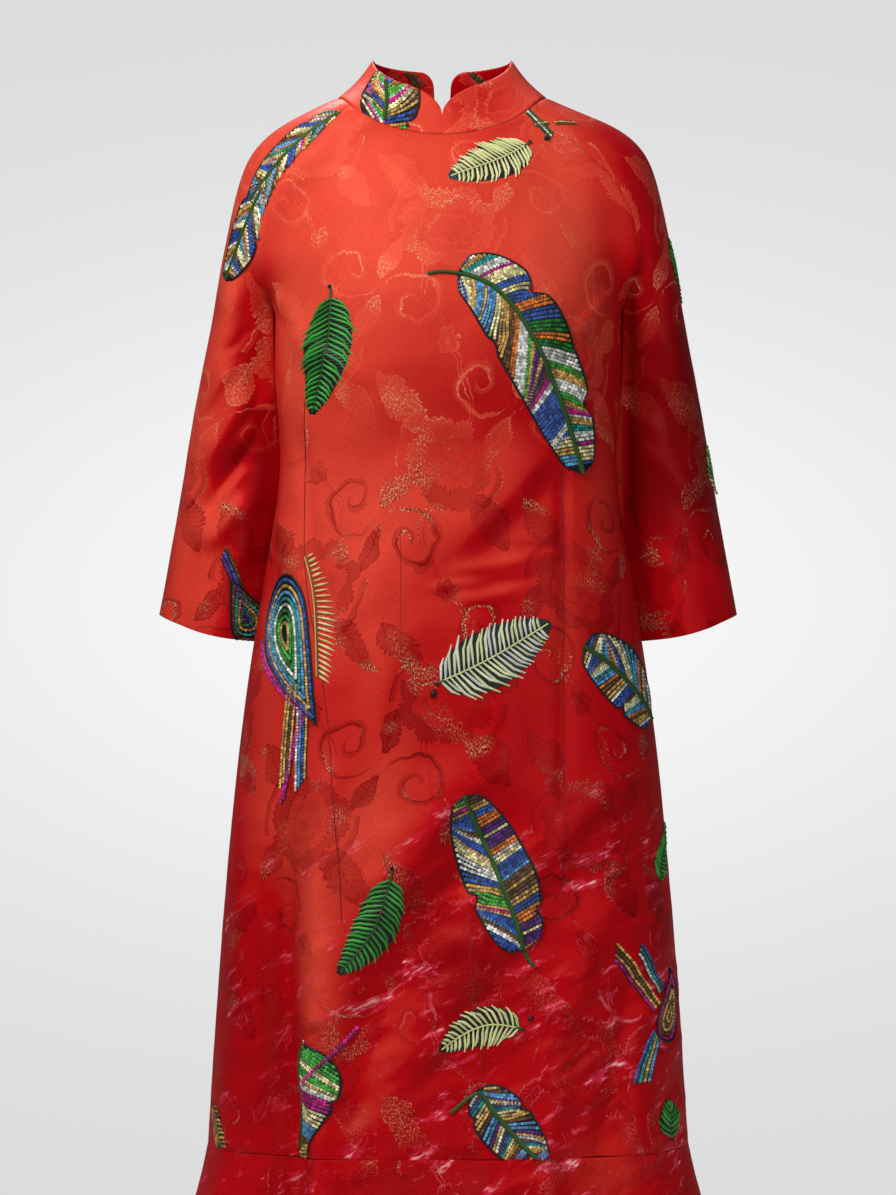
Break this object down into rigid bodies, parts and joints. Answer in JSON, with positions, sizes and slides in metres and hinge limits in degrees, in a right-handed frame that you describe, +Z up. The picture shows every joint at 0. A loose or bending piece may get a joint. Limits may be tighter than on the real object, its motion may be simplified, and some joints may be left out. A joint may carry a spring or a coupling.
{
  "type": "ao dai",
  "caption": "Ao dai dress in worn form, red floral brocade, with a notched stand collar, raglan flared sleeves, long front darts and a flounced hem.",
  "frame": {"origin": "on the centre line, at the height where the dress hangs on the wearer's shoulders beside the neck, midway front to back", "axes": "+Z up along the wearer, -Y to the front, +X to the wearer's left"},
  "size_m": [0.638, 0.4437, 1.3147],
  "materials": {
    "brocade": "satin brocade with a woven floral pattern and sparse metallic yarns",
    "collar_brocade": "the same brocade over firm interfacing",
    "embroidery": "thick many-coloured embroidery thread with dark outlines"
  },
  "bodies": {
    "root": {"front_panel": "brocade", "back_panel_left": "brocade", "back_panel_right": "brocade", "sleeve_left": "brocade", "sleeve_right": "brocade", "collar_left": "collar_brocade", "collar_right": "collar_brocade", "flounce_front": "brocade", "flounce_back": "brocade"}
  },
  "joints": []
}
